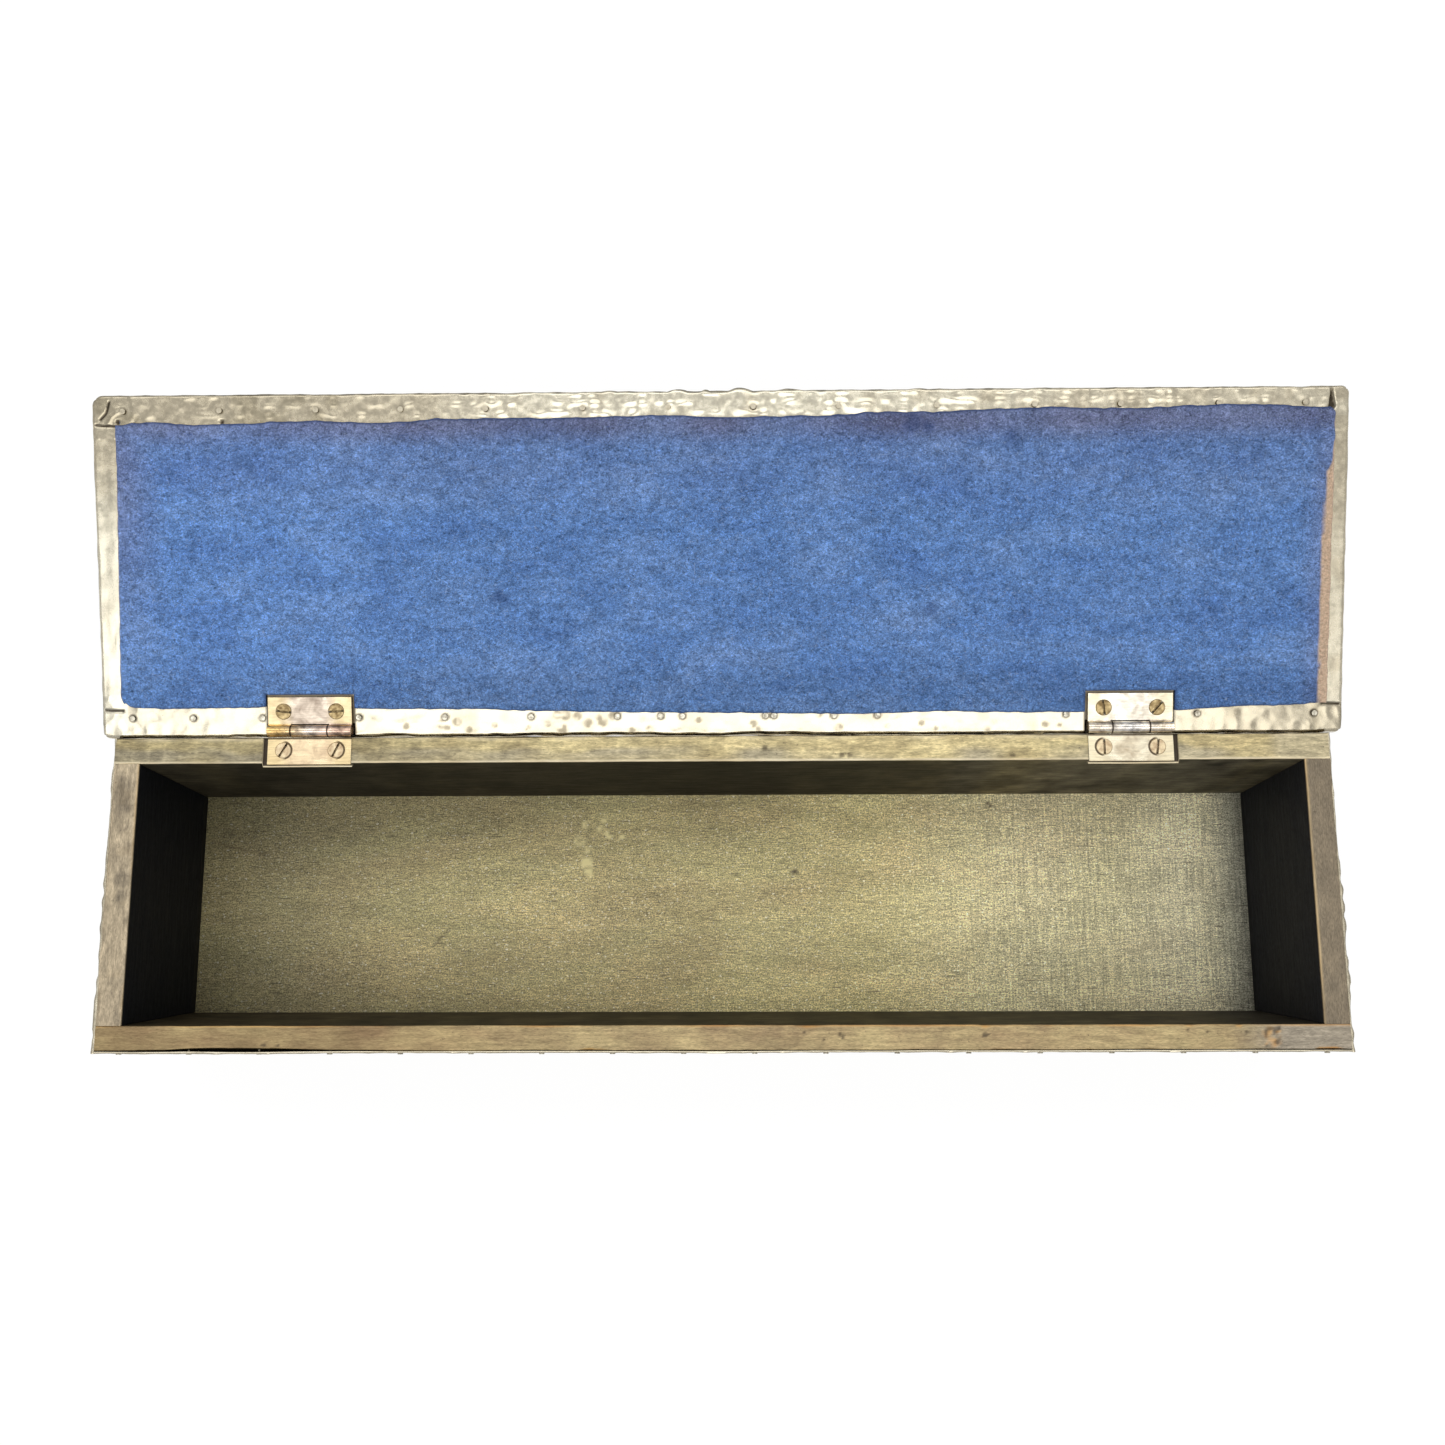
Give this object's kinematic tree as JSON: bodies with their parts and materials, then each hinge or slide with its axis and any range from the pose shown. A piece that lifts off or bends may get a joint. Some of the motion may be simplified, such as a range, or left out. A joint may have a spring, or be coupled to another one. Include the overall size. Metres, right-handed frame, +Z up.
{
  "type": "hinged lid box",
  "caption": "Long shallow stained wooden box covered in hammered pewter sheet, with a felt-lined lid that opens right back on brass butt hinges.",
  "frame": {"origin": "centre of the underside, on the surface the box stands on", "axes": "+X right along the length, +Y towards the hinges, +Z up; the lid is drawn open"},
  "size_m": [0.376, 0.1964, 0.0898],
  "materials": {
    "stained_wood": "dark stain, worn on the edges",
    "hammered_pewter": "hand hammered, dull",
    "blue_felt": "napped wool felt, faded at the edges",
    "hinge_brass": "aged, pinkish patina",
    "pin_steel": "dull wire"
  },
  "bodies": {
    "box": {"floor_board": "stained_wood", "front_wall": "stained_wood", "back_wall": "stained_wood", "left_wall": "stained_wood", "right_wall": "stained_wood", "front_cladding": "hammered_pewter", "back_cladding": "hammered_pewter", "left_cladding": "hammered_pewter", "right_cladding": "hammered_pewter", "left_hinge_body_leaf": "hinge_brass", "right_hinge_body_leaf": "hinge_brass", "left_hinge_pin": "hinge_brass", "right_hinge_pin": "hinge_brass", "hinge_body_screws": "hinge_brass", "corner_nails": "pin_steel", "floor_nails": "pin_steel", "body_top_pins": "pin_steel", "body_base_pins": "pin_steel"},
    "lid": {"lid_board": "stained_wood", "lid_cladding": "hammered_pewter", "lid_felt": "blue_felt", "left_hinge_lid_leaf": "hinge_brass", "right_hinge_lid_leaf": "hinge_brass", "hinge_lid_screws": "hinge_brass", "lid_front_pins": "pin_steel", "lid_rear_pins": "pin_steel"}
  },
  "joints": [
    {"name": "lid_hinge", "type": "hinge", "parent": "box", "child": "lid", "pos_m": [0, 0.04875, 0.066], "axis": [1, 0, 0], "range_deg": [0, 165.7]}
  ]
}
